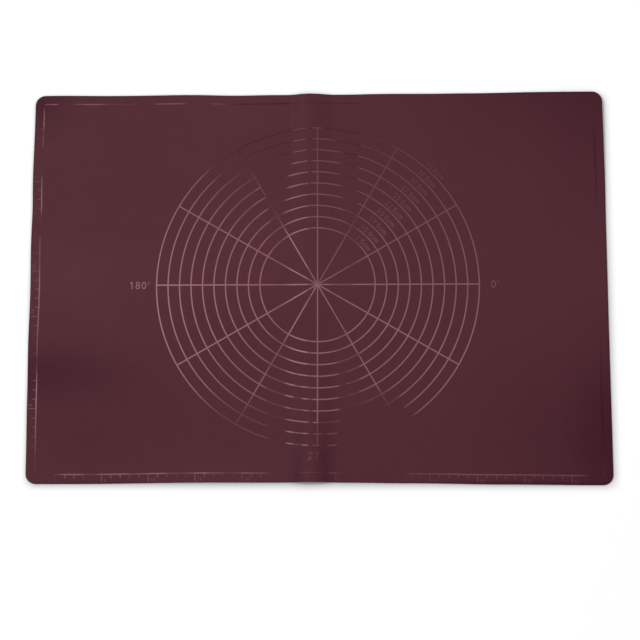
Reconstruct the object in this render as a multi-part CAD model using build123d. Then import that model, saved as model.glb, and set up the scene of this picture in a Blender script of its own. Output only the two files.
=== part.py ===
from build123d import *
import math
import os

# Silicone baking mat with a measuring chart, lying as it was unpacked, in millimetres.
# X runs along the mat's length, Y from the front edge to the back edge, Z up from the worktop.
# The origin is on the worktop under the centre of the chart, which is the centre of the mat.

# Sheet
mat_length = 627.0
mat_width = 428.0
mat_thickness = 1.0
corner_radius = 11.0

# Ridge that the storage fold leaves, from the front edge to the back edge
ridge_centre_x = -9.5
ridge_span = 45.0
ridge_height_at_edges = 5.0
ridge_height_at_middle = 1.3
ridge_rise_shares = (0, 0, 1, 0, 0)

# Back right corner, which curls up a little
lift_start_x = 180.0
lift_start_y = 60.0
lift_height = 2.5
lift_rise_shares = (0, 0, 1, 1)

# Film of glossy silicone ink that the chart is printed with.
# The clearance keeps the curved faces of ink and sheet, and neighbouring marks, from sharing space.
film_thickness = 0.15
ink_clearance = 0.02
line_width = 1.4

# Circles and angle lines of the chart, with as many circles as the mat's width has room for
smallest_circle = 125.0
circle_step = 25.0
chart_margin = 36.0
angle_line_count = 12
hub_radius = 3.0

# Border line and the two centimetre rulers that stand on it
border_inset = 10.0
tick_width = 0.8
short_tick = 3.6
long_tick = 7.4
tick_pitch = 10.0
ticks_per_long_one = 5
front_ruler_start = 33.0
left_ruler_start = 30.0
ruler_end_margin = 35.0

# Height by which the prisms that cut the sheet and the ink film stand over them
overrun = 5.0

half_length = mat_length / 2
half_width = mat_width / 2
cutting_height = mat_thickness + ink_clearance + film_thickness + ridge_height_at_edges + lift_height + overrun
circle_count = 1 + math.floor((mat_width - 2 * chart_margin - smallest_circle) / circle_step)
front_ruler_count = 1 + math.floor((mat_length - front_ruler_start - ruler_end_margin) / tick_pitch)
left_ruler_count = 1 + math.floor((mat_width - left_ruler_start - ruler_end_margin) / tick_pitch)


def bernstein(count, index, at):
    """Weight of one control point of a Bezier curve at a share of its length."""
    degree = count - 1
    return math.comb(degree, index) * at**index * (1 - at) ** (degree - index)


def ridge_heights():
    """Control heights of the ridge: a bell across its span, tallest at the two mat edges."""
    crown = bernstein(len(ridge_rise_shares), ridge_rise_shares.index(1), 0.5)
    middle_control = 2 * ridge_height_at_middle - ridge_height_at_edges
    along = (ridge_height_at_edges, middle_control, ridge_height_at_edges)
    return [[rise * height / crown for height in along] for rise in ridge_rise_shares]


def lift_heights():
    """Control heights of the curled corner, level with the flat sheet on its two inner sides."""
    return [[lift_height * x * y for y in lift_rise_shares] for x in lift_rise_shares]


def curved_block(low_x, high_x, low_y, high_y, heights, base, thickness):
    """Block of even thickness between two Bezier surfaces, with four upright sides."""

    def surface(level):
        rows = len(heights) - 1
        columns = len(heights[0]) - 1
        return Face.make_bezier_surface(
            [
                [
                    (
                        low_x + (high_x - low_x) * row / rows,
                        low_y + (high_y - low_y) * column / columns,
                        level + heights[row][column],
                    )
                    for column in range(columns + 1)
                ]
                for row in range(rows + 1)
            ]
        )

    under = surface(base)
    over = surface(base + thickness)
    sides = []
    for axis in (Axis.X, Axis.Y):
        for end in (0, -1):
            lower = under.edges().sort_by(axis)[end]
            upper = over.edges().sort_by(axis)[end]
            uprights = [Edge.make_line(lower @ at, (lower @ at) + Vector(0, 0, thickness)) for at in (0, 1)]
            sides.append(Face(Wire([lower, upper, *uprights])))
    return Solid(Shell([under, over, *sides]))


def level_block(low_x, high_x, low_y, high_y, base, thickness):
    """Plain block between two levels."""
    middle = Pos((low_x + high_x) / 2, (low_y + high_y) / 2, base)
    return extrude(middle * Rectangle(high_x - low_x, high_y - low_y), thickness)


def lying_layer(base, thickness):
    """A layer of the mat's full outline that lies flat but for the ridge and the curled corner."""
    ridge_low_x = ridge_centre_x - ridge_span / 2
    ridge = (ridge_low_x, ridge_low_x + ridge_span, -half_width, half_width)
    corner = (lift_start_x, half_length, lift_start_y, half_width)
    layer = level_block(-half_length, half_length, -half_width, half_width, base, thickness)
    layer -= level_block(*ridge, base, thickness)
    layer -= level_block(*corner, base, thickness)
    layer += curved_block(*ridge, ridge_heights(), base, thickness)
    layer += curved_block(*corner, lift_heights(), base, thickness)
    return layer


def sheet():
    """The silicone sheet itself, with its rounded corners."""
    outline = RectangleRounded(mat_length, mat_width, corner_radius)
    return lying_layer(0, mat_thickness) & extrude(outline, cutting_height)


ink_film = lying_layer(mat_thickness + ink_clearance, film_thickness)


def printed(outline):
    """The ink film inside a flat outline, so that the mark follows the sheet under it."""
    return ink_film & extrude(outline, cutting_height)


def circle_radius(number):
    """Middle of a chart circle's line."""
    return (smallest_circle + circle_step * number) / 2


def ring_outline(number):
    """One circle of the chart."""
    radius = circle_radius(number)
    return Circle(radius + line_width / 2) - Circle(radius - line_width / 2)


def angle_line_outline(number):
    """One angle line from the hub to the largest circle, in bars that end just clear of each circle."""
    bars = []
    start = hub_radius
    for circle in range(circle_count):
        length = circle_radius(circle) - line_width / 2 - start - 2 * ink_clearance
        bars.append(Pos(start + ink_clearance + length / 2, 0) * Rectangle(length, line_width))
        start = circle_radius(circle) + line_width / 2
    return Rot(0, 0, 360 / angle_line_count * number) * (Sketch() + bars)


def border_outline():
    """The border line, a frame at an even distance from the mat's edges."""
    length = mat_length - 2 * border_inset
    width = mat_width - 2 * border_inset
    outer = Rectangle(length + line_width, width + line_width)
    return outer - Rectangle(length - line_width, width - line_width)


def tick_outlines(count):
    """Ticks of one ruler along X, standing just clear of the line y = 0 and pointing towards -Y."""
    ticks = []
    for number in range(count):
        height = long_tick if number % ticks_per_long_one == 0 else short_tick
        foot = Pos(tick_pitch * number, -ink_clearance - height / 2)
        ticks.append(foot * Rectangle(tick_width, height))
    return Sketch() + ticks


def front_ruler_outline():
    """Ticks from the border line towards the front edge, numbered from the left."""
    foot = -half_width + border_inset - line_width / 2
    return Pos(-half_length + front_ruler_start, foot) * tick_outlines(front_ruler_count)


def left_ruler_outline():
    """Ticks from the border line towards the left edge, numbered from the front."""
    foot = -half_length + border_inset - line_width / 2
    upright = mirror(Rot(0, 0, 90) * tick_outlines(left_ruler_count), about=Plane.YZ)
    return Pos(foot, -half_width + left_ruler_start) * upright


def node_names_and_shapes():
    """Every piece with the name of its file."""
    yield "mat_sheet", sheet()
    yield "border_line", printed(border_outline())
    yield "front_ruler_ticks", printed(front_ruler_outline())
    yield "left_ruler_ticks", printed(left_ruler_outline())
    yield "chart_hub", printed(Circle(hub_radius))
    for number in range(circle_count):
        yield f"chart_circle_{number + 1}", printed(ring_outline(number))
    for number in range(angle_line_count):
        degrees = round(360 / angle_line_count * number)
        yield f"angle_line_{degrees}_deg", printed(angle_line_outline(number))


os.makedirs("parts", exist_ok=True)
for name, shape in node_names_and_shapes():
    export_step(shape, f"parts/{name}.step")
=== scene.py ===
import math

import bpy
import numpy as np
from mathutils.geometry import delaunay_2d_cdt
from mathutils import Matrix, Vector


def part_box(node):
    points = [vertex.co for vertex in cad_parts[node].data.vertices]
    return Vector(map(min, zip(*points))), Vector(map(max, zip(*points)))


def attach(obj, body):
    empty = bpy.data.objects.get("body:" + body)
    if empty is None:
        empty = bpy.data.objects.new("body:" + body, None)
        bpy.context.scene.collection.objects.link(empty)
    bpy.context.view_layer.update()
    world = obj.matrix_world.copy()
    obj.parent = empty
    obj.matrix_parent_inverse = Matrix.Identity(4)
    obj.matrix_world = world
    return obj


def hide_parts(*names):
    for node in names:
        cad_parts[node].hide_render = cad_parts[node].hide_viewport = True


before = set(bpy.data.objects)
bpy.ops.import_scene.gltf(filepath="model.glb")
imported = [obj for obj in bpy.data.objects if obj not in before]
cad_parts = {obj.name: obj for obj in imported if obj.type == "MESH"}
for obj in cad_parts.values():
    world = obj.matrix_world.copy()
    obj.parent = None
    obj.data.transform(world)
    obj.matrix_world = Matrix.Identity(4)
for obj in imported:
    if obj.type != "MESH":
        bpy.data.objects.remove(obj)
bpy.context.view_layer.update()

# Silicone baking mat with a measuring chart, lying on a worktop as it was unpacked.
# Lengths are millimetres and angles degrees, unless a name says otherwise. Meshes are made in metres.
# X runs along the mat's length, Y from the front edge to the back edge, Z up.
MM = 0.001


def node_reach(name):
    """Half length and half width of a CAD node that is centred on the chart."""
    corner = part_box(name)[1] / MM
    return corner.x, corner.y


# Sheet
half_length, half_width = node_reach("mat_sheet")
sheet_thickness = 1.0
corner_radius = 11.0
rim_radius = 0.35
coarse_step = 4.0
fine_step = 1.0
rim_ring_shares = (0.3, 0.6, 0.85)
corner_turn_step = 11
rim_turn_step = 30

# Ridge that the storage fold leaves, from the front edge to the back edge
ridge_centre_x = -9.5
ridge_span = 45.0
ridge_height_at_edges = 5.0
ridge_height_at_middle = 1.3
right_flank_stretch = 1.3

# Back right corner, which curls up a little
lift_start_x = 180.0
lift_start_y = 60.0
lift_height = 2.5

# Slight waves along the edges: edge, place along it, half spread, height
edge_waves = (
    ("back", -160.0, 70.0, 1.2),
    ("back", -285.0, 55.0, 1.0),
    ("back", 120.0, 90.0, 0.6),
    ("left", -10.0, 75.0, 0.9),
    ("left", 105.0, 60.0, 1.1),
    ("left", -125.0, 60.0, 0.9),
    ("front", -110.0, 90.0, 0.8),
    ("front", 215.0, 100.0, 0.8),
)
wave_reach = 45.0

# How far each edge bows out of the straight line, as places along the edge and distances outwards
edge_bows = {
    "front": (
        (-260, 0.6), (-110, -1.0), (-40, -0.8), (-8, -1.3), (30, -0.7), (100, 0.0), (200, 1.3), (300, 2.2)),
    "back": (
        (-300, -0.5), (-190, -0.9), (-140, -0.6), (-87, -1.4), (-50, -1.0), (-10, -1.0), (30, -1.1),
        (70, -0.6), (130, -0.9), (160, -0.6), (240, 0.1), (313, -0.2)),
    "left": (
        (-200, -1.3), (-120, -0.8), (-65, 0.0), (-10, -0.8), (50, 0.2), (87, -0.5), (125, 0.1), (200, -0.5)),
    "right": ((-200, -0.2), (-50, -0.4), (60, -0.2), (120, 0.0), (150, -0.3), (200, -0.8)),
}
bow_reach = 100.0

# Print: a film that stands over the sheet's face by its height and reaches below it by its sink
ink_height = 0.17
ink_sink = 0.06
line_width = 1.4
circle_count = sum(name.startswith("chart_circle_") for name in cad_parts)
circle_radii = [node_reach(f"chart_circle_{n + 1}")[0] - line_width / 2 for n in range(circle_count)]
angle_lines = sorted(int(name.split("_")[2]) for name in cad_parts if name.startswith("angle_line_"))
hub_radius = node_reach("chart_hub")[0]
border_half_length, border_half_width = (reach - line_width / 2 for reach in node_reach("border_line"))
path_step = 1.5
largest_mitre = 2.0


def smooth(share):
    """Eases from 0 to 1, level at both ends."""
    share = np.clip(share, 0, 1)
    return share * share * (3 - 2 * share)


def bell(distance, half_spread):
    """1 at the middle, easing down to 0 at half the spread on either side."""
    return smooth(1 - np.abs(distance) / half_spread)


def even_places(low, high, step):
    """Even places from one limit to another, about a step apart."""
    return np.linspace(low, high, max(2, round((high - low) / step) + 1))


def eased(stations, at):
    """Value at a place between stations, easing from each one to the next."""
    places, values = zip(*stations)
    step = np.clip(np.searchsorted(places, at, side="right") - 1, 0, len(places) - 2)
    places, values = np.array(places, float), np.array(values, float)
    share = smooth((at - places[step]) / (places[step + 1] - places[step]))
    return values[step] + (values[step + 1] - values[step]) * share


def ridge_height(x, y):
    """Height of the fold ridge, tallest at the two edges: a quartic bell with a longer right flank."""
    from_crest = (x - ridge_centre_x) / np.where(x > ridge_centre_x, right_flank_stretch, 1)
    share = np.clip(from_crest / ridge_span + 0.5, 0, 1)
    growth = (ridge_height_at_edges - ridge_height_at_middle) * (y / half_width) ** 2
    return (4 * share * (1 - share)) ** 2 * (ridge_height_at_middle + growth)


def curl_height(x, y):
    """Height of the curled back right corner."""
    across = smooth((x - lift_start_x) / (half_length - lift_start_x))
    along = smooth((y - lift_start_y) / (half_width - lift_start_y))
    return lift_height * across * along


def distances_to_edges(x, y):
    """How far in from each edge of the mat a place is."""
    return {
        "front": half_width + y,
        "back": half_width - y,
        "left": half_length + x,
        "right": half_length - x,
    }


def places_along_edges(x, y):
    """Where along each edge of the mat a place is."""
    return {"front": x, "back": x, "left": y, "right": y}


def wave_height(x, y):
    """Height of the slight waves along the edges."""
    height = np.zeros(np.broadcast(x, y).shape)
    inwards, along = distances_to_edges(x, y), places_along_edges(x, y)
    for edge, place, half_spread, top in edge_waves:
        height += top * bell(along[edge] - place, half_spread) * smooth(1 - inwards[edge] / wave_reach)
    return height


def on_sheet(x, y, level):
    """Places of points of the flat print or sheet, at a level over its underside, once the mat lies down."""
    x, y, level = np.broadcast_arrays(np.asarray(x, float), np.asarray(y, float), level)
    inwards, along = distances_to_edges(x, y), places_along_edges(x, y)
    outwards = {edge: eased(bows, along[edge]) for edge, bows in edge_bows.items()}
    shift = {edge: smooth(1 - inwards[edge] / bow_reach) * outwards[edge] for edge in edge_bows}
    height = ridge_height(x, y) + curl_height(x, y) + wave_height(x, y)
    places = [x + shift["right"] - shift["left"], y + shift["back"] - shift["front"], level + height]
    return np.stack(places, axis=-1)


# Painted light and shade on the sheet, slow changes of its lightness: place, half spreads, and change of the
# share of full colour that it keeps
light_and_shade_patches = (
    # Left end, with painted shade at the back corner and in a dark strip in front of a strip of painted light
    (-313, 214, 62, 62, -0.62),
    (-290, 12, 110, 55, 0.20),
    (-315, -95, 175, 52, -0.50),
    (-220, -140, 160, 90, -0.16),
    (-255, -175, 80, 60, -0.14),
    # Middle, with painted light on the left and behind
    (-120, 15, 260, 90, 0.10),
    (-85, 115, 150, 170, 0.10),
    (20, 60, 260, 110, 0.06),
    (-22, 0, 15, 420, -0.08),
    # Right end, with painted shade darker towards both corners
    (335, -150, 85, 170, -0.50),
    (313, -214, 220, 150, -0.36),
    (325, 235, 240, 130, -0.56),
    (255, -125, 130, 110, -0.18),
    (305, 125, 100, 100, -0.18),
    # Painted light and shade on both flanks of the ridge and what lies beside it at the front edge
    (-21, -214, 13, 120, -0.40),
    (-10, -214, 8, 120, 0.14),
    (9, -214, 17, 160, -0.28),
    (0, -214, 260, 110, -0.08),
    (-45, -214, 50, 60, 0.10),
    (-100, -214, 80, 45, 0.14),
    # The same painted light and shade at the back edge
    (-23, 214, 12, 130, -0.24),
    (-90, 214, 100, 60, 0.14),
)
# Painted shade on the four rims: the share of full colour left there, and how far in it reaches
rim_shades = {"left": 0.4, "right": 0.0, "front": 0.4, "back": 0.0}
rim_shade_reach = 1.7


def sheet_tone(x, y):
    """Share of its full colour that the silicone keeps at a place, under the painted light and shade of the
    patches and rims.
    """
    lit_share = np.ones(np.shape(x))
    for centre_x, centre_y, spread_x, spread_y, change in light_and_shade_patches:
        lit_share += change * bell(x - centre_x, spread_x) * bell(y - centre_y, spread_y)
    for side, to_edge in distances_to_edges(x, y).items():
        lit_share *= 1 + (rim_shades[side] - 1) * np.clip(1 - to_edge / rim_shade_reach, 0, 1)
    return np.maximum(lit_share, 0)


def new_piece(name, points, faces, material, gleams=None, smooth_faces=True):
    """Mesh object that rides on the part's one body, with the painted light and shade, and the print's
    painted sheen, that its material reads.
    """
    mesh = bpy.data.meshes.new(name)
    mesh.from_pydata((np.asarray(points) * MM).tolist(), [], faces)
    mesh.polygons.foreach_set("use_smooth", [smooth_faces] * len(mesh.polygons))
    values = {"lit_share": sheet_tone(points[:, 0], points[:, 1])}
    if gleams is not None:
        values["gleam"] = gleams
    for attribute_name, value in values.items():
        attribute = mesh.attributes.new(attribute_name, "FLOAT", "POINT")
        attribute.data.foreach_set("value", np.asarray(value, np.float32))
    mesh.materials.append(material)
    mesh.validate()
    mesh.update()
    piece = bpy.data.objects.new(name, mesh)
    bpy.context.scene.collection.objects.link(piece)
    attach(piece, "root")
    return piece


# Painted sheen: where the glossy print catches the light, its colour is painted lighter. A gleam of 1 is the
# brightest stretch, 0 can't be told from the sheet, and below 0 the print is painted darker than the sheet.
# The chart gleams most on the left and least at the back right.
# Stations round the chart: angle, gleam at the smallest circle, gleam at the largest
gleam_round_chart = (
    (0, 0.60, 0.53), (12, 0.53, 0.45), (24, 0.52, 0.34), (36, 0.47, 0.25), (48, 0.36, 0.17), (60, 0.32, 0.14),
    (75, 0.38, 0.15), (88, 0.46, 0.20), (96, 0.42, 0.18), (104, 0.60, 0.30), (124, 0.55, 0.55),
    (134, 0.52, 0.46), (142, 0.64, 0.52), (150, 0.66, 0.68), (164, 0.70, 0.84), (180, 0.72, 1.04),
    (190, 0.74, 1.13), (204, 0.80, 0.99), (216, 0.70, 0.76), (230, 0.62, 0.52), (242, 0.62, 0.50),
    (256, 0.72, 0.70), (270, 0.68, 0.66), (296, 0.60, 0.60), (306, 0.66, 0.42), (312, 0.68, 0.52),
    (326, 0.72, 0.68), (344, 0.64, 0.68), (360, 0.60, 0.53),
)
# How far the change goes on inside the smallest circle and past the largest, as shares of the way between
gleam_limits = (-0.5, 1.2)


def chart_base_gleam(x, y):
    """Gleam of the chart without the changes beside the ridge."""
    angle = np.degrees(np.arctan2(y, x)) % 360
    angles, inner, outer = zip(*gleam_round_chart)
    between = (np.hypot(x, y) - circle_radii[0]) / (circle_radii[-1] - circle_radii[0])
    outwards = np.clip(between, *gleam_limits)
    near, far = eased(tuple(zip(angles, inner)), angle), eased(tuple(zip(angles, outer)), angle)
    return near + (far - near) * outwards


# The ridge turns the print towards the light on its left flank and away from it elsewhere, and the bands
# paint that change into the print's sheen. Each band across the ridge has a side to lie on, the softness of
# its low and
# its high limit in X, and stations: distance from the chart's centre line towards the edge, the two limits,
# and the share of the gleam inside them.
ridge_bands = (
    # Back side: dark band left of the ridge
    ("back", (6, 5), (
        (0, -47, -36, 0.75), (45, -50, -37, 0.68), (62, -51, -35, 0.62), (74, -53, -37, 0.22),
        (90, -56, -36, 0.08), (100, -58.5, -35, 0.0), (108, -63, -33, 0.0), (121, -67, -32, 0.0),
        (134, -72, -28, 0.0), (139, -74, -28, 0.0), (146, -98, -26, -0.08), (160, -103, -27, -0.15),
        (214, -103, -28, -0.18))),
    # Back side: fade further left
    ("back", (40, 6), (
        (60, -92, -72, 1.0), (75, -92, -72, 0.8), (96, -108, -68, 0.72), (104, -110, -68, 0.58),
        (110, -106, -64, 0.45), (115, -112, -60, 0.38), (121, -118, -62, 0.2), (127, -124, -66, 0.08),
        (139, -128, -70, 0.0), (146, -132, -98, 0.0), (160, -136, -103, 0.0), (214, -150, -103, 0.0))),
    # Back side: left flank, which shines
    ("back", (8, 3), (
        (0, -32, -10.7, 1.45), (60, -32, -10.6, 1.52), (130, -32, -10.6, 1.6), (148, -32, -10.6, 1.2),
        (174, -32, -10.6, 0.9), (214, -32, -10.6, 0.9))),
    # Back side: gap just right of the crest
    ("back", (3, 3), (
        (0, -11, -7, 0.75), (62, -10.5, -6.8, 0.85), (100, -10.5, -7, 0.8), (112, -10, -7.2, 0.1),
        (125, -10.2, -6.8, 0.0), (138, -10.8, -6.5, 0.0), (150, -12, -5.3, 0.0), (175, -12.6, -5.4, -0.15),
        (214, -12.6, -5.4, -0.15))),
    # Back side: dark band right of the ridge
    ("back", (10, 5), (
        (0, 15, 38, 0.73), (16, 24, 40, 0.72), (22, 33, 43, 0.5), (30, 30, 42, 0.75), (50, 30, 46, 0.5),
        (66, 32, 42.5, 0.45), (80, 28, 45, 0.32), (93, 27.5, 43.5, 0.03), (107, 26, 43, 0.0),
        (120, 24, 44, -0.1), (133, 25, 44, -0.1), (146, 27, 43.5, -0.35), (158, 24, 50, -0.3),
        (171, 5, 55, -0.2), (214, 5, 90, -0.2))),
    # Back side: fade of the largest circles further right
    ("back", (4, 8), ((140, 50, 82, 1.0), (149, 50, 82, 0.5), (162, 52, 88, 0.25), (214, 52, 90, 0.2))),
    # Front side: dark band left of the ridge
    ("front", (8, 4), (
        (0, -47, -36, 0.8), (43, -50, -37, 0.85), (60, -50, -35, 0.65), (75, -52, -35, 0.62),
        (89, -53, -35, 0.55), (103, -57, -35.5, 0.45), (117, -54, -34.5, 0.32), (130, -54, -35, 0.25),
        (143, -53, -33.5, 0.12), (156, -54, -33.5, 0.03), (214, -55, -34, 0.0))),
    # Front side: fade further left
    ("front", (20, 4), (
        (115, -110, -50, 1.0), (125, -126, -50, 0.7), (133, -118, -50, 0.45), (141, -112, -50, 0.28),
        (150, -115, -50, 0.28), (160, -120, -50, 0.38), (214, -130, -50, 0.3))),
    # Front side: left flank, which shines
    ("front", (7, 3), (
        (0, -32.5, -11.5, 1.4), (40, -30, -11.5, 1.3), (59, -30, -10.7, 1.46), (72, -30, -10.7, 1.66),
        (85, -32.5, -10.7, 1.5), (98, -33, -10.7, 1.38), (123, -33, -10.7, 1.3), (136, -33, -10.7, 1.12),
        (148, -33, -10.7, 1.06), (161, -33, -10.7, 1.24), (174, -33, -10.7, 1.12), (214, -33, -10.7, 1.1))),
    # Front side: darker stretch within the left flank
    ("front", (4, 3), (
        (90, -25, -20, 1.0), (98, -25, -20, 0.78), (110, -24.5, -18.3, 0.42), (123, -26.5, -16, 0.12),
        (136, -31, -15, 0.42), (148, -25, -18, 0.9), (161, -26, -15.3, 0.5), (174, -26.5, -16, 0.22),
        (214, -26.5, -16, 0.2))),
    # Front side: gap just right of the crest
    ("front", (4, 2.5), (
        (0, -11, -7, 0.75), (62, -10.7, -7, 0.68), (100, -10.7, -6.4, 0.68), (112, -10, -5.6, 0.62),
        (125, -9.5, -5.3, 0.35), (138, -9.5, -5.3, 0.2), (150, -9.5, -4.6, 0.1), (162, -10.5, -4.8, 0.08),
        (174, -10.5, -5, 0.0), (181, -10.5, -5, 0.6), (214, -10.5, -5, 0.6))),
    # Front side: right flank near the edge, and a darker stretch within it
    ("front", (2, 3), (
        (134, -5, 24, 1.0), (138, 1, 24, 0.85), (146, 1, 24, 0.24), (152, 0, 24, 0.18), (160, -6, 24, 0.38),
        (214, -6, 24, 0.38))),
    ("front", (4, 3), (
        (155, 5, 10.5, 1.0), (162, 5, 10.5, 0.35), (174, 2.5, 10.5, 0.0), (214, 2.5, 20, 0.0))),
    # Front side: dark band right of the ridge, and a darker stretch within it
    ("front", (4, 4), (
        (0, 15, 38, 0.73), (20, 15, 28, 0.8), (52, 22, 31, 0.8), (71, 21.5, 31, 0.75), (75, 21, 45, 0.4),
        (84, 21, 45, 0.36), (94, 22, 45, 0.48), (107, 23.5, 45.3, 0.36), (120, 22.5, 46.5, 0.22),
        (133, 23, 49, 0.05), (146, 23.5, 49, 0.0), (159, 21, 49, 0.0), (214, 20, 49, 0.0))),
    ("front", (3, 3), (
        (88, 22, 33, 1.0), (95, 22, 33, 0.35), (108, 23.5, 31, 0.3), (121, 22, 33, 0.55), (133, 22, 33, 1.0),
        (214, 22, 33, 1.0))),
    # Front side: fade of the largest circles further right
    ("front", (4, 16), (
        (108, 47, 74, 1.0), (114, 47, 76, 0.75), (118, 47, 80, 0.4), (122, 47, 88, 0.3), (128, 47, 91, 0.25),
        (133, 47, 94, 0.05), (141, 47, 104, 0.0), (214, 47, 112, 0.0))),
)


def window(at, low, high, low_softness, high_softness):
    """1 between two limits and 0 beyond them, eased over each limit's softness."""
    return smooth((at - low) / low_softness + 0.5) * smooth((high - at) / high_softness + 0.5)


def ridge_share(x, y):
    """Share of its gleam that the print has beside the ridge."""
    total = np.ones(np.broadcast(x, y).shape)
    for side, softness, band_stations in ridge_bands:
        out = y if side == "back" else -y
        places, *columns = (np.array(column, float) for column in zip(*band_stations))
        low, high, share = (np.interp(out, places, column) for column in columns)
        total *= 1 + (share - 1) * np.where(out >= 0, window(x, low, high, *softness), 0)
    return total


def chart_gleam(x, y):
    """Gleam of the circles, angle lines, hub and labels."""
    return chart_base_gleam(x, y) * ridge_share(x, y)


# Painted sheen of the border line along its four sides, as places and gleams
edge_gleams = {
    "front": (
        (-286, 0), (-278, 0.2), (-270, 0.6), (-256, 0.6), (-248, 0.24), (-240, 0.16), (-232, 0.48),
        (-222, 0.6), (-208, 0.6), (-196, 0.32), (-188, 0.38), (-178, 0.6), (-166, 0.64), (-157, 0.2),
        (-140, 0.2), (-128, 0.54), (-120, 0.58), (-112, 0.3), (-104, 0.28), (-96, 0.12), (-84, 0.22),
        (-75, 0.48), (-67, 0.28), (-60, 0.32), (-52, 0.1), (-40, 0), (-22, 0), (-15, 0.12), (2, 0.08),
        (8, 0), (15, 0.2), (23, 0.1), (30, 0), (90, 0), (98, 0.16), (130, 0.22), (155, 0.34), (200, 0.31),
        (250, 0.23), (264, 0.29), (280, 0.25), (288, 0)),
    "back": (
        (-300, 0.3), (-292, 0.5), (-285, 0), (-276, 0), (-262, 0.28), (-255, 0.43), (-241, 0.4),
        (-232, 0.1), (-204, 0.06), (-196, 0), (-186, 0), (-172, 0.33), (-157, 0.42), (-150, 0.28),
        (-142, 0), (-122, 0), (-112, 0.22), (-104, 0.12), (-96, 0), (-84, -0.1), (-60, -0.06),
        (-40, -0.11), (-22, -0.04), (0, -0.03), (38, -0.06), (52, 0)),
    "left": (
        (-202, 0), (-196, 0.1), (-184, 0.1), (-172, 0.3), (-154, 0.5), (-143, 0.53), (-130, 0.8),
        (-112, 0.74), (-100, 0.52), (-92, 0.2), (-82, 0.08), (-74, 0.3), (-58, 0.36), (-40, 0.55),
        (-16, 0.64), (-6, 0.78), (10, 0.57), (26, 0.26), (38, 0.4), (50, 0.22), (60, 0), (74, 0.05),
        (90, 0.58), (104, 0.58), (116, 0.36), (126, 0.03), (152, 0), (163, 0.31), (170, 0.12), (182, 0.53),
        (194, 0.43), (201, 0)),
    "right": (
        (-208, 0.08), (-194, 0.02), (-170, -0.02), (-130, -0.04), (-60, -0.02), (-45, 0), (74, 0),
        (90, -0.05), (160, -0.07), (172, 0)),
}

# Shares of the border line's gleam that the ticks and the numerals beside it have
front_tick_share = 0.9
left_tick_share = 0.7
numeral_share = 0.55


def border_gleam(x, y):
    """Gleam of the border line and rulers, taken from the nearest side."""
    nearest = np.stack(list(distances_to_edges(x, y).values())).argmin(axis=0)
    gleams = np.stack([eased(edge_gleams[edge], place) for edge, place in places_along_edges(x, y).items()])
    return np.take_along_axis(gleams, nearest[None], axis=0)[0]


def scaled(gleam, share):
    """A share of a gleam, or more than the whole of it."""
    return lambda x, y: share * gleam(x, y)


# Materials
ground_light = (0.0757, 0.0180, 0.0262)
ground_dark = (0.0688, 0.0161, 0.0236)
# Colour that the sheet's painted shade darkens towards
painted_shade_colour = (0.032, 0.002, 0.0085)
# Colour of the print's painted sheen at a gleam of 1
painted_ink_sheen = (0.285, 0.132, 0.156)
rubber_specular = 0.1

# Noise patterns: scale per metre, detail, and how far each is moved, so that no two lie alike
cloud_pattern = (6.0, 2, 4.1)
mottle_pattern = (160.0, 3, 9.7)
grain_pattern = (900.0, 2, 1.3)
unevenness_pattern = (35.0, 2, 6.2)
sheet_roughness_pattern = (60.0, 3, 2.6)
# Noise that makes the print's painted sheen uneven
sheen_unevenness_pattern = (220.0, 3, 3.9)
noise_roughness = 0.55

# Ranges that values are moved between: low and high before, then low and high after
cloud_range = (0.35, 0.65, 0, 0.4)
mottle_range = (0.3, 0.7, 0, 0.6)
sheet_roughness_range = (0.3, 0.7, 0.5, 0.62)
# Range of the unevenness of the print's painted sheen
sheen_unevenness_range = (0.25, 0.75, 0.88, 1.12)
ink_roughness_range = (0.0, 1.0, 0.52, 0.4)

# Grain: height, strength on the sheet and on the ink, and the share of the slower unevenness
grain_height_m = 0.0001
sheet_grain_strength = 0.25
ink_grain_strength = 0.1
unevenness_share = 0.4


def add_node(tree, kind, values=(), **settings):
    """Node of a kind with its settings, and its numbered or named inputs filled in."""
    node = tree.nodes.new(kind)
    for name, value in settings.items():
        setattr(node, name, value)
    for socket, value in dict(values).items():
        node.inputs[socket].default_value = value
    return node


def noise(tree, place, scale, detail, shift):
    """Noise over the frame's coordinates in metres."""
    mapping = add_node(tree, "ShaderNodeMapping", {"Location": (shift, shift, 0)})
    texture = add_node(
        tree, "ShaderNodeTexNoise", {"Scale": scale, "Detail": detail, "Roughness": noise_roughness}
    )
    tree.links.new(place, mapping.inputs["Vector"])
    tree.links.new(mapping.outputs["Vector"], texture.inputs["Vector"])
    return texture.outputs["Fac"]


def ranged(tree, value, low, high, to_low, to_high):
    """A value moved from one range to another."""
    node = add_node(
        tree, "ShaderNodeMapRange", {"From Min": low, "From Max": high, "To Min": to_low, "To Max": to_high}
    )
    tree.links.new(value, node.inputs["Value"])
    return node.outputs["Result"]


def mixed(tree, share, first, second, clamp=True):
    """Colour between two colours, each a link or a plain colour."""
    node = add_node(tree, "ShaderNodeMix", data_type="RGBA", clamp_factor=clamp)
    tree.links.new(share, node.inputs[0])
    for socket, colour in ((6, first), (7, second)):
        if isinstance(colour, tuple):
            node.inputs[socket].default_value = (*colour, 1)
        else:
            tree.links.new(colour, node.inputs[socket])
    return node.outputs[2]


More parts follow.
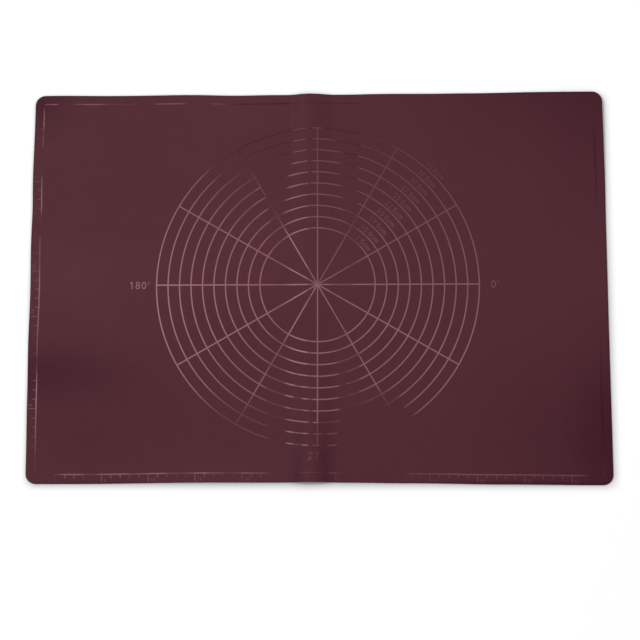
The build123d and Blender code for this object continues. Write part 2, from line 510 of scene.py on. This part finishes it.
def ground_colour(tree, place):
    """Burgundy with faint clouding and mottle, darkened and lightened by the sheet's painted light and shade.
    """
    clouds = ranged(tree, noise(tree, place, *cloud_pattern), *cloud_range)
    mottle = ranged(tree, noise(tree, place, *mottle_pattern), *mottle_range)
    both = add_node(tree, "ShaderNodeMath", operation="ADD")
    tree.links.new(clouds, both.inputs[0])
    tree.links.new(mottle, both.inputs[1])
    burgundy = mixed(tree, both.outputs[0], ground_dark, ground_light)
    # Painted light and shade of the sheet, read from its points
    lit_share = add_node(tree, "ShaderNodeAttribute", attribute_name="lit_share").outputs["Fac"]
    return mixed(tree, lit_share, painted_shade_colour, burgundy, clamp=False)


def grain_bump(tree, place, strength):
    """Fine moulded grain with a slower unevenness of the sheet."""
    grain = noise(tree, place, *grain_pattern)
    unevenness = noise(tree, place, *unevenness_pattern)
    height = add_node(tree, "ShaderNodeMath", {1: unevenness_share}, operation="MULTIPLY_ADD")
    tree.links.new(unevenness, height.inputs[0])
    tree.links.new(grain, height.inputs[2])
    bump = add_node(tree, "ShaderNodeBump", {"Strength": strength, "Distance": grain_height_m})
    tree.links.new(height.outputs[0], bump.inputs["Height"])
    return bump.outputs["Normal"]


def new_material(name, specular):
    """Material with a Principled shader, and the coordinates that its patterns follow."""
    material = bpy.data.materials.new(name)
    material.use_nodes = True
    tree = material.node_tree
    shader = tree.nodes["Principled BSDF"]
    shader.inputs["Specular IOR Level"].default_value = specular
    place = tree.nodes.new("ShaderNodeTexCoord").outputs["Object"]
    return material, tree, shader, place


def silicone_material():
    """Matt burgundy silicone."""
    material, tree, shader, place = new_material("burgundy_silicone", rubber_specular)
    tree.links.new(ground_colour(tree, place), shader.inputs["Base Color"])
    roughness = ranged(tree, noise(tree, place, *sheet_roughness_pattern), *sheet_roughness_range)
    tree.links.new(roughness, shader.inputs["Roughness"])
    tree.links.new(grain_bump(tree, place, sheet_grain_strength), shader.inputs["Normal"])
    return material


def ink_material():
    """Silicone ink of the sheet's own colour, painted lighter by its gleam, a painted sheen."""
    material, tree, shader, place = new_material("glossy_silicone_ink", rubber_specular)
    gleam = add_node(tree, "ShaderNodeAttribute", attribute_name="gleam").outputs["Fac"]
    # Noise that makes the painted sheen uneven
    sheen_noise = ranged(tree, noise(tree, place, *sheen_unevenness_pattern), *sheen_unevenness_range)
    sheen_share = add_node(tree, "ShaderNodeMath", operation="MULTIPLY")
    tree.links.new(gleam, sheen_share.inputs[0])
    tree.links.new(sheen_noise, sheen_share.inputs[1])
    colour = mixed(tree, sheen_share.outputs[0], ground_colour(tree, place), painted_ink_sheen, clamp=False)
    tree.links.new(colour, shader.inputs["Base Color"])
    tree.links.new(ranged(tree, gleam, *ink_roughness_range), shader.inputs["Roughness"])
    tree.links.new(grain_bump(tree, place, ink_grain_strength), shader.inputs["Normal"])
    return material


silicone = silicone_material()
ink = ink_material()


# The sheet: a grid inside the corner radius, rings outside it, a rounded rim and the underside
def sheet_grid():
    """Columns and rows of the grid, finer across the ridge."""
    inner_x, inner_y = half_length - corner_radius, half_width - corner_radius
    ridge_low, ridge_high = (ridge_centre_x + side * ridge_span / 2 for side in (-1, right_flank_stretch))
    columns = np.concatenate([
        even_places(-inner_x, ridge_low, coarse_step)[:-1],
        even_places(ridge_low, ridge_high, fine_step)[:-1],
        even_places(ridge_high, inner_x, coarse_step),
    ])
    return columns, even_places(-inner_y, inner_y, coarse_step)


def grid_outline(across, up):
    """Points round the grid, counterclockwise from the front right corner, and the angle that each faces."""
    corners = (across - 1, up * across - 1, (up - 1) * across, 0)
    sides = (
        [row * across + across - 1 for row in range(1, up - 1)],
        [(up - 1) * across + column for column in range(across - 2, 0, -1)],
        [row * across for row in range(up - 2, 0, -1)],
        list(range(1, across - 1)),
    )
    outline = []
    for number, (corner, side) in enumerate(zip(corners, sides)):
        outwards = 90 * number
        outline += [(corner, outwards - 90 + turn) for turn in even_places(0, 90, corner_turn_step)]
        outline += [(point, outwards) for point in side]
    points, angles = zip(*outline)
    return np.array(points), np.radians(angles)


def rim_profile():
    """Steps out from the grid and levels over the underside, down round the rim."""
    over = [(corner_radius * share, sheet_thickness) for share in rim_ring_shares]
    for turn in np.radians(even_places(0, 90, rim_turn_step)):
        step_out = corner_radius - rim_radius + rim_radius * math.sin(turn)
        over.append((step_out, sheet_thickness - rim_radius * (1 - math.cos(turn))))
    return over + [(step_out, sheet_thickness - level) for step_out, level in reversed(over)]


def sheet_faces(across, up, under_start, rings):
    """Faces of the top, of the underside whose points start later, and between the rings that join them."""
    faces = []
    for row in range(up - 1):
        for column in range(across - 1):
            corner = row * across + column
            quad = (corner, corner + 1, corner + across + 1, corner + across)
            faces.append(quad)
            faces.append(tuple(under_start + point for point in reversed(quad)))
    for inner, outer in zip(rings, rings[1:]):
        for n in range(len(inner)):
            m = (n + 1) % len(inner)
            corners = (inner[n], outer[n], outer[m], inner[m])
            faces.append(tuple(int(point) for point in dict.fromkeys(corners)))
    return faces


def sheet_piece():
    """The silicone sheet."""
    columns, rows = sheet_grid()
    grid_x, grid_y = (axis.ravel() for axis in np.meshgrid(columns, rows))
    outline, facing = grid_outline(len(columns), len(rows))
    profile = rim_profile()
    layers = [on_sheet(grid_x, grid_y, sheet_thickness)]
    for step_out, level in profile:
        x = grid_x[outline] + step_out * np.cos(facing)
        y = grid_y[outline] + step_out * np.sin(facing)
        layers.append(on_sheet(x, y, level))
    layers.append(on_sheet(grid_x, grid_y, 0.0))

    grid_size, ring_size = len(grid_x), len(outline)
    under_start = grid_size + ring_size * len(profile)
    rings = [grid_size + ring_size * n + np.arange(ring_size) for n in range(len(profile))]
    faces = sheet_faces(len(columns), len(rows), under_start, [outline, *rings, under_start + outline])
    piece = new_piece("silicone_sheet", np.concatenate(layers), faces, silicone)
    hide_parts("mat_sheet")


# Ink lines: a low domed film along a path. Its section is given in half widths and in shares of its height.
film_section = ((-1.0, 0.0), (-1.0, 0.7), (-0.75, 1.0), (0.75, 1.0), (1.0, 0.7), (1.0, 0.0))


def leftward_steps(path, closed):
    """Steps to the left of a flat path at each of its points, longer where it bends so that corners mitre."""
    if closed:
        before, after = np.roll(path, 1, axis=0), np.roll(path, -1, axis=0)
    else:
        before = np.concatenate([2 * path[:1] - path[1:2], path[:-1]])
        after = np.concatenate([path[1:], 2 * path[-1:] - path[-2:-1]])
    arriving, leaving = path - before, after - path
    arriving /= np.linalg.norm(arriving, axis=1)[:, None]
    leaving /= np.linalg.norm(leaving, axis=1)[:, None]
    heading = arriving + leaving
    heading /= np.linalg.norm(heading, axis=1)[:, None]
    mitre = np.minimum(1 / (heading * leaving).sum(axis=1), largest_mitre)
    return np.stack([-heading[:, 1], heading[:, 0]], axis=1) * mitre[:, None]


def ribbon(path, width, closed):
    """Points and faces of a film along a flat path, and the places that the points read their gleam at."""
    path = np.asarray(path, float)
    leftward = leftward_steps(path, closed)
    layers = []
    for share, rise in film_section:
        spot = path + leftward * (-share * width / 2)
        level = sheet_thickness - ink_sink + rise * (ink_sink + ink_height)
        layers.append(on_sheet(spot[:, 0], spot[:, 1], level))
    points = np.stack(layers, axis=1).reshape(-1, 3)
    gleam_places = np.repeat(path, len(film_section), axis=0)

    count, sides = len(path), len(film_section)
    faces = []
    for n in range(count if closed else count - 1):
        m = (n + 1) % count
        for side in range(sides):
            other = (side + 1) % sides
            faces.append((n * sides + side, n * sides + other, m * sides + other, m * sides + side))
    if not closed:
        faces.append(tuple(reversed(range(sides))))
        faces.append(tuple((count - 1) * sides + side for side in range(sides)))
    return points, faces, gleam_places


def joined(parts):
    """Several ribbons or letters as one."""
    points, faces, places = [], [], []
    start = 0
    for part_points, part_faces, part_places in parts:
        points.append(part_points)
        places.append(part_places)
        faces += [tuple(start + v for v in face) for face in part_faces]
        start += len(part_points)
    return np.concatenate(points), faces, np.concatenate(places)


def ink_piece(name, parts, gleam, *nodes):
    """Printed mark made of ribbons or letters, which may stand for CAD nodes."""
    points, faces, places = joined(parts)
    piece = new_piece(name, points, faces, ink, gleam(places[:, 0], places[:, 1]), False)
    if nodes:
        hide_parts(*nodes)


def circle_path(radius):
    """Even points round a circle."""
    turns = even_places(0, 2 * math.pi, path_step / radius)[:-1]
    return np.stack([radius * np.cos(turns), radius * np.sin(turns)], axis=1)


def straight_path(start, end):
    """Even points from one place to another."""
    start, end = np.asarray(start, float), np.asarray(end, float)
    shares = even_places(0, 1, path_step / np.linalg.norm(end - start))[:, None]
    return start + (end - start) * shares


# Some angle lines lie so that they catch more or less light than the circles that they cross, painted as more
# or less sheen
angle_line_shares = {0: 1.1, 30: 0.95, 90: 0.95, 120: 1.12, 180: 1.08, 210: 1.06, 240: 1.07, 270: 0.95}


def chart_pieces():
    """Circles, angle lines and hub of the chart."""
    for number, radius in enumerate(circle_radii, 1):
        ring = ribbon(circle_path(radius), line_width, True)
        ink_piece(f"ink_circle_{number}", [ring], chart_gleam, f"chart_circle_{number}")
    stops = [hub_radius - line_width / 2] + circle_radii
    for degrees in angle_lines:
        direction = np.array([math.cos(math.radians(degrees)), math.sin(math.radians(degrees))])
        bars = []
        for low, high in zip(stops, stops[1:]):
            start, end = low + line_width / 2, high - line_width / 2
            bars.append(ribbon(straight_path(start * direction, end * direction), line_width, False))
        gleam = scaled(chart_gleam, angle_line_shares.get(degrees, 1))
        ink_piece(f"ink_angle_line_{degrees}", bars, gleam, f"angle_line_{degrees}_deg")
    dot = ribbon(circle_path(hub_radius / 2), hub_radius, True)
    ink_piece("ink_hub", [dot], chart_gleam, "chart_hub")


# Border line and rulers. Ticks stand on the line and point towards the mat's edge.
tick_width = 0.8
short_tick = 3.6
long_tick = 7.4
tick_pitch = 10.0
ticks_per_long_one = 5
front_foot_y = -border_half_width - line_width / 2
left_foot_x = -border_half_length - line_width / 2


def ruler_places(node, axis):
    """Places of a ruler's ticks along its side, from the box of its CAD node."""
    low, high = (corner[axis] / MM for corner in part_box(node))
    count = round((high - low - tick_width) / tick_pitch) + 1
    return [low + tick_width / 2 + tick_pitch * number for number in range(count)]


front_ticks = ruler_places("front_ruler_ticks", 0)
left_ticks = ruler_places("left_ruler_ticks", 1)


def ticks(feet, outwards):
    """Ticks of one ruler from their feet on the border line."""
    ribbons = []
    for number, foot in enumerate(np.array(feet)):
        length = long_tick if number % ticks_per_long_one == 0 else short_tick
        ribbons.append(ribbon(straight_path(foot, foot + length * np.array(outwards)), tick_width, False))
    return ribbons


def border_pieces():
    """Border line and the ticks of both rulers."""
    corners = [(-1, -1), (1, -1), (1, 1), (-1, 1)]
    frame_corners = [np.array(c) * (border_half_length, border_half_width) for c in corners]
    sides = [straight_path(a, b)[:-1] for a, b in zip(frame_corners, frame_corners[1:] + frame_corners[:1])]
    line = ribbon(np.concatenate(sides), line_width, True)
    ink_piece("ink_border_line", [line], border_gleam, "border_line")
    front = ticks([(x, front_foot_y) for x in front_ticks], (0, -1))
    ink_piece("ink_front_ticks", front, scaled(border_gleam, front_tick_share), "front_ruler_ticks")
    left = ticks([(left_foot_x, y) for y in left_ticks], (-1, 0))
    ink_piece("ink_left_ticks", left, scaled(border_gleam, left_tick_share), "left_ruler_ticks")


# Lettering in one plain line style. Strokes are centre lines in shares of the height of a capital.
stroke_share = 0.14
joint_sides = 8
bow_turn_step = 15
merge_share = 0.0001


def bow(centre_x, centre_y, reach_x, reach_y, start, end):
    """Part of an ellipse, counterclockwise where end is larger."""
    turns = np.radians(even_places(min(start, end), max(start, end), bow_turn_step))
    if end < start:
        turns = turns[::-1]
    return [(centre_x + reach_x * math.cos(t), centre_y + reach_y * math.sin(t)) for t in turns]


letter_strokes = {
    "0": [bow(0.31, 0.5, 0.24, 0.43, 0, 360)],
    "1": [[(0.14, 0.73), (0.34, 0.93), (0.34, 0.07)]],
    "2": [bow(0.31, 0.68, 0.235, 0.25, 165, -35) + [(0.07, 0.07), (0.56, 0.07)]],
    "3": [bow(0.30, 0.71, 0.22, 0.22, 155, -80), bow(0.30, 0.29, 0.25, 0.22, 80, -155)],
    "4": [[(0.43, 0.07), (0.43, 0.93), (0.05, 0.32), (0.60, 0.32)]],
    "5": [[(0.52, 0.93), (0.16, 0.93), (0.11, 0.50)] + bow(0.30, 0.335, 0.255, 0.265, 130, -150)],
    "7": [[(0.06, 0.93), (0.56, 0.93), (0.34, 0.52), (0.24, 0.07)]],
    "8": [bow(0.31, 0.71, 0.19, 0.22, 0, 360), bow(0.31, 0.285, 0.24, 0.215, 0, 360)],
    "9": [bow(0.31, 0.66, 0.235, 0.27, 0, 360), bow(0.30, 0.52, 0.245, 0.45, 18, -140)],
    "c": [bow(0.30, 0.36, 0.24, 0.29, 45, 315)],
    "m": [[(0.08, 0.07), (0.08, 0.65)], bow(0.28, 0.46, 0.20, 0.19, 180, 0) + [(0.48, 0.07)],
          bow(0.68, 0.46, 0.20, 0.19, 180, 0) + [(0.88, 0.07)]],
    ".": [[(0.12, 0.07), (0.12, 0.09)]],
    "°": [bow(0.16, 0.80, 0.11, 0.13, 0, 360)],
}
letter_advances = {".": 0.30, "°": 0.40, "c": 0.72, "m": 1.06}
digit_advance = 0.80
letter_outlines = {}


def letter_outline(letter):
    """Flat points, triangles and outside edges of a letter, with its strokes merged."""
    if letter in letter_outlines:
        return letter_outlines[letter]
    half = stroke_share / 2
    corners, rings = [], []

    def add_ring(ring):
        rings.append(list(range(len(corners), len(corners) + len(ring))))
        corners.extend(ring)

    for stroke in letter_strokes[letter]:
        line = np.array(stroke)
        for a, b in zip(line, line[1:]):
            along = (b - a) / np.linalg.norm(b - a)
            aside = np.array([-along[1], along[0]]) * half
            add_ring([tuple(a - aside), tuple(b - aside), tuple(b + aside), tuple(a + aside)])
        for x, y in line:
            turns = [2 * math.pi * (n + 0.5) / joint_sides for n in range(joint_sides)]
            add_ring([(x + half * math.cos(t), y + half * math.sin(t)) for t in turns])
    points, _, faces, _, _, owners = delaunay_2d_cdt(corners, [], rings, 0, merge_share, True)
    triangles = [tuple(face) for face, owner in zip(faces, owners) if owner]
    directed = {(f[n], f[(n + 1) % 3]) for f in triangles for n in range(3)}
    outside = sorted(edge for edge in directed if (edge[1], edge[0]) not in directed)
    letter_outlines[letter] = (np.array([tuple(p) for p in points]), triangles, outside)
    return letter_outlines[letter]


def raised_letter(letter, place):
    """A letter as a raised film. place turns shares of the capital height into places on the flat mat."""
    flat, triangles, outside = letter_outline(letter)
    used = sorted({vertex for triangle in triangles for vertex in triangle})
    order = {vertex: n for n, vertex in enumerate(used)}
    spots = place(flat[used])
    size = len(used)
    top = on_sheet(spots[:, 0], spots[:, 1], sheet_thickness + ink_height)
    foot = on_sheet(spots[:, 0], spots[:, 1], sheet_thickness - ink_sink)
    faces = [tuple(order[v] for v in triangle) for triangle in triangles]
    faces += [tuple(size + order[v] for v in reversed(triangle)) for triangle in triangles]
    faces += [(order[b], order[a], size + order[a], size + order[b]) for a, b in outside]
    return np.concatenate([top, foot]), faces, np.concatenate([spots, spots])


def text_width(text):
    """Length of a line of text in capital heights."""
    return sum(letter_advances.get(letter, digit_advance) for letter in text)


def straight_text(text, start, height, angle=0):
    """Letters of a line of text from the left end of its baseline."""
    turn = math.radians(angle)
    right = np.array([math.cos(turn), math.sin(turn)])
    up = np.array([-math.sin(turn), math.cos(turn)])
    letters, cursor = [], 0.0
    for letter in text:
        def place(shares, cursor=cursor):
            return start + height * ((shares[:, :1] + cursor) * right + shares[:, 1:] * up)
        letters.append(raised_letter(letter, place))
        cursor += letter_advances.get(letter, digit_advance)
    return letters


def round_text(text, radius, middle_angle, height):
    """Letters of a line of text round a circle, read clockwise with their tops outwards."""
    letters, cursor = [], -text_width(text) / 2
    for letter in text:
        def place(shares, cursor=cursor):
            turn = math.radians(middle_angle) - (shares[:, 0] + cursor) * height / radius
            out = radius + shares[:, 1] * height
            return np.stack([out * np.cos(turn), out * np.sin(turn)], axis=1)
        letters.append(raised_letter(letter, place))
        cursor += letter_advances.get(letter, digit_advance)
    return letters


# Labels: heights, gaps and places, and the shares of the chart's gleam that they have
size_label_height = 5.6
size_label_gap = 2.4
size_label_angle = 44.3
degree_label_height = 8.3
degree_labels = {0: (187.6, -4.4), 90: (-7.5, 181.5), 180: (-204.6, -4.4), 270: (-10.0, -190.2)}
size_label_gleam = 0.85
degree_label_gleams = {0: 0.6, 90: 0.0, 180: 0.7, 270: 0.64}
degree_sign_gleam = 0.4
numeral_height = 3.6
numeral_gap = 2.6
mm_per_cm = 10


def label_pieces():
    """Size labels of the circles, degree labels and ruler numerals."""
    for number, radius in enumerate(circle_radii, 1):
        text = f"{2 * radius / mm_per_cm:.1f}cm"
        letters = round_text(text, radius + size_label_gap, size_label_angle, size_label_height)
        ink_piece(f"size_label_{number}", letters, scaled(chart_gleam, size_label_gleam))
    for degrees, start in degree_labels.items():
        letters = straight_text(f"{degrees}°", np.array(start), degree_label_height)
        gleam = scaled(chart_gleam, degree_label_gleams[degrees])
        ink_piece(f"degree_label_{degrees}", letters[:-1], gleam)
        ink_piece(f"degree_sign_{degrees}", letters[-1:], scaled(gleam, degree_sign_gleam))

    front = []
    for number in range(0, len(front_ticks), ticks_per_long_one):
        start = np.array([front_ticks[number] + numeral_gap, front_foot_y - long_tick])
        front += straight_text(str(number), start, numeral_height)
    ink_piece("front_numerals", front, scaled(border_gleam, numeral_share))

    left = []
    for number in range(ticks_per_long_one, len(left_ticks), ticks_per_long_one):
        start = np.array([left_foot_x - long_tick + numeral_height, left_ticks[number] + numeral_gap])
        left += straight_text(str(number), start, numeral_height, 90)
    ink_piece("left_numerals", left, scaled(border_gleam, numeral_share))


# Floor, light and camera
floor_half_size_m = 3.0
camera_place_m = (0.035708, -0.247848, 1.464134)
camera_turn_rad = (0.141879, 0.022592, 0.0)
camera_lens = 76.983
floor_tone = (0.95, 0.95, 0.95)
floor_roughness = 0.9

# Painted soft shadow on the floor: width of its fall, shift, step in from the mat's outline, and depth
shade_width = 22.5
shade_shift = (1.7, -3.5)
shade_inset = (2.5, 3.0)
shade_depth = 0.9

world_strength = 0.8
key_place_m = (-3.0, 1.2, 3.6)
key_size_m = 1.6
key_power = 94.0


def floor_shade(tree, place):
    """Share of light left in the painted soft shadow on the floor round the mat, fullest on the right and
    front.
    """
    split = add_node(tree, "ShaderNodeSeparateXYZ")
    tree.links.new(place, split.inputs[0])
    under = []
    for axis, half in enumerate((half_length, half_width)):
        aside = add_node(tree, "ShaderNodeMath", {1: shade_shift[axis] * MM}, operation="SUBTRACT")
        outwards = add_node(tree, "ShaderNodeMath", operation="ABSOLUTE")
        edge = half - shade_inset[axis]
        limits = {"From Min": (edge - shade_width / 2) * MM, "From Max": (edge + shade_width / 2) * MM}
        drop = limits | {"To Min": 1, "To Max": 0}
        fall = add_node(tree, "ShaderNodeMapRange", drop, interpolation_type="SMOOTHSTEP")
        tree.links.new(split.outputs[axis], aside.inputs[0])
        tree.links.new(aside.outputs[0], outwards.inputs[0])
        tree.links.new(outwards.outputs[0], fall.inputs["Value"])
        under.append(fall.outputs["Result"])
    both = add_node(tree, "ShaderNodeMath", operation="MULTIPLY")
    for number, output in enumerate(under):
        tree.links.new(output, both.inputs[number])
    left_over = add_node(tree, "ShaderNodeMath", {1: -shade_depth, 2: 1}, operation="MULTIPLY_ADD")
    tree.links.new(both.outputs[0], left_over.inputs[0])
    return left_over.outputs[0]


def floor():
    """Pale floor with a painted soft shadow round the mat."""
    reach = floor_half_size_m
    mesh = bpy.data.meshes.new("floor")
    corners = [(-reach, -reach, 0), (reach, -reach, 0), (reach, reach, 0), (-reach, reach, 0)]
    mesh.from_pydata(corners, [], [(0, 1, 2, 3)])
    material, tree, shader, place = new_material("pale_floor", 0.0)
    colour = mixed(tree, floor_shade(tree, place), (0.0, 0.0, 0.0), floor_tone)
    tree.links.new(colour, shader.inputs["Base Color"])
    shader.inputs["Roughness"].default_value = floor_roughness
    mesh.materials.append(material)
    piece = bpy.data.objects.new("floor", mesh)
    bpy.context.scene.collection.objects.link(piece)


def studio_light():
    """Soft white surroundings, and a soft key light from the back left."""
    world = bpy.data.worlds.new("studio")
    world.use_nodes = True
    background = world.node_tree.nodes["Background"]
    background.inputs["Color"].default_value = (1, 1, 1, 1)
    background.inputs["Strength"].default_value = world_strength
    bpy.context.scene.world = world
    lamp = bpy.data.lights.new("key_light", "AREA")
    lamp.shape = "DISK"
    lamp.size = key_size_m
    lamp.energy = key_power
    key = bpy.data.objects.new("key_light", lamp)
    key.location = key_place_m
    key.rotation_euler = (-key.location).to_track_quat("-Z", "Y").to_euler()
    bpy.context.scene.collection.objects.link(key)


def camera():
    """The photograph's view, fitted to the chart's circles and angle lines."""
    data = bpy.data.cameras.new("camera")
    data.lens = camera_lens
    view = bpy.data.objects.new("camera", data)
    view.location = camera_place_m
    view.rotation_euler = camera_turn_rad
    bpy.context.scene.collection.objects.link(view)
    bpy.context.scene.camera = view
    bpy.context.scene.view_settings.view_transform = "Standard"


sheet_piece()
chart_pieces()
border_pieces()
label_pieces()
floor()
studio_light()
camera()
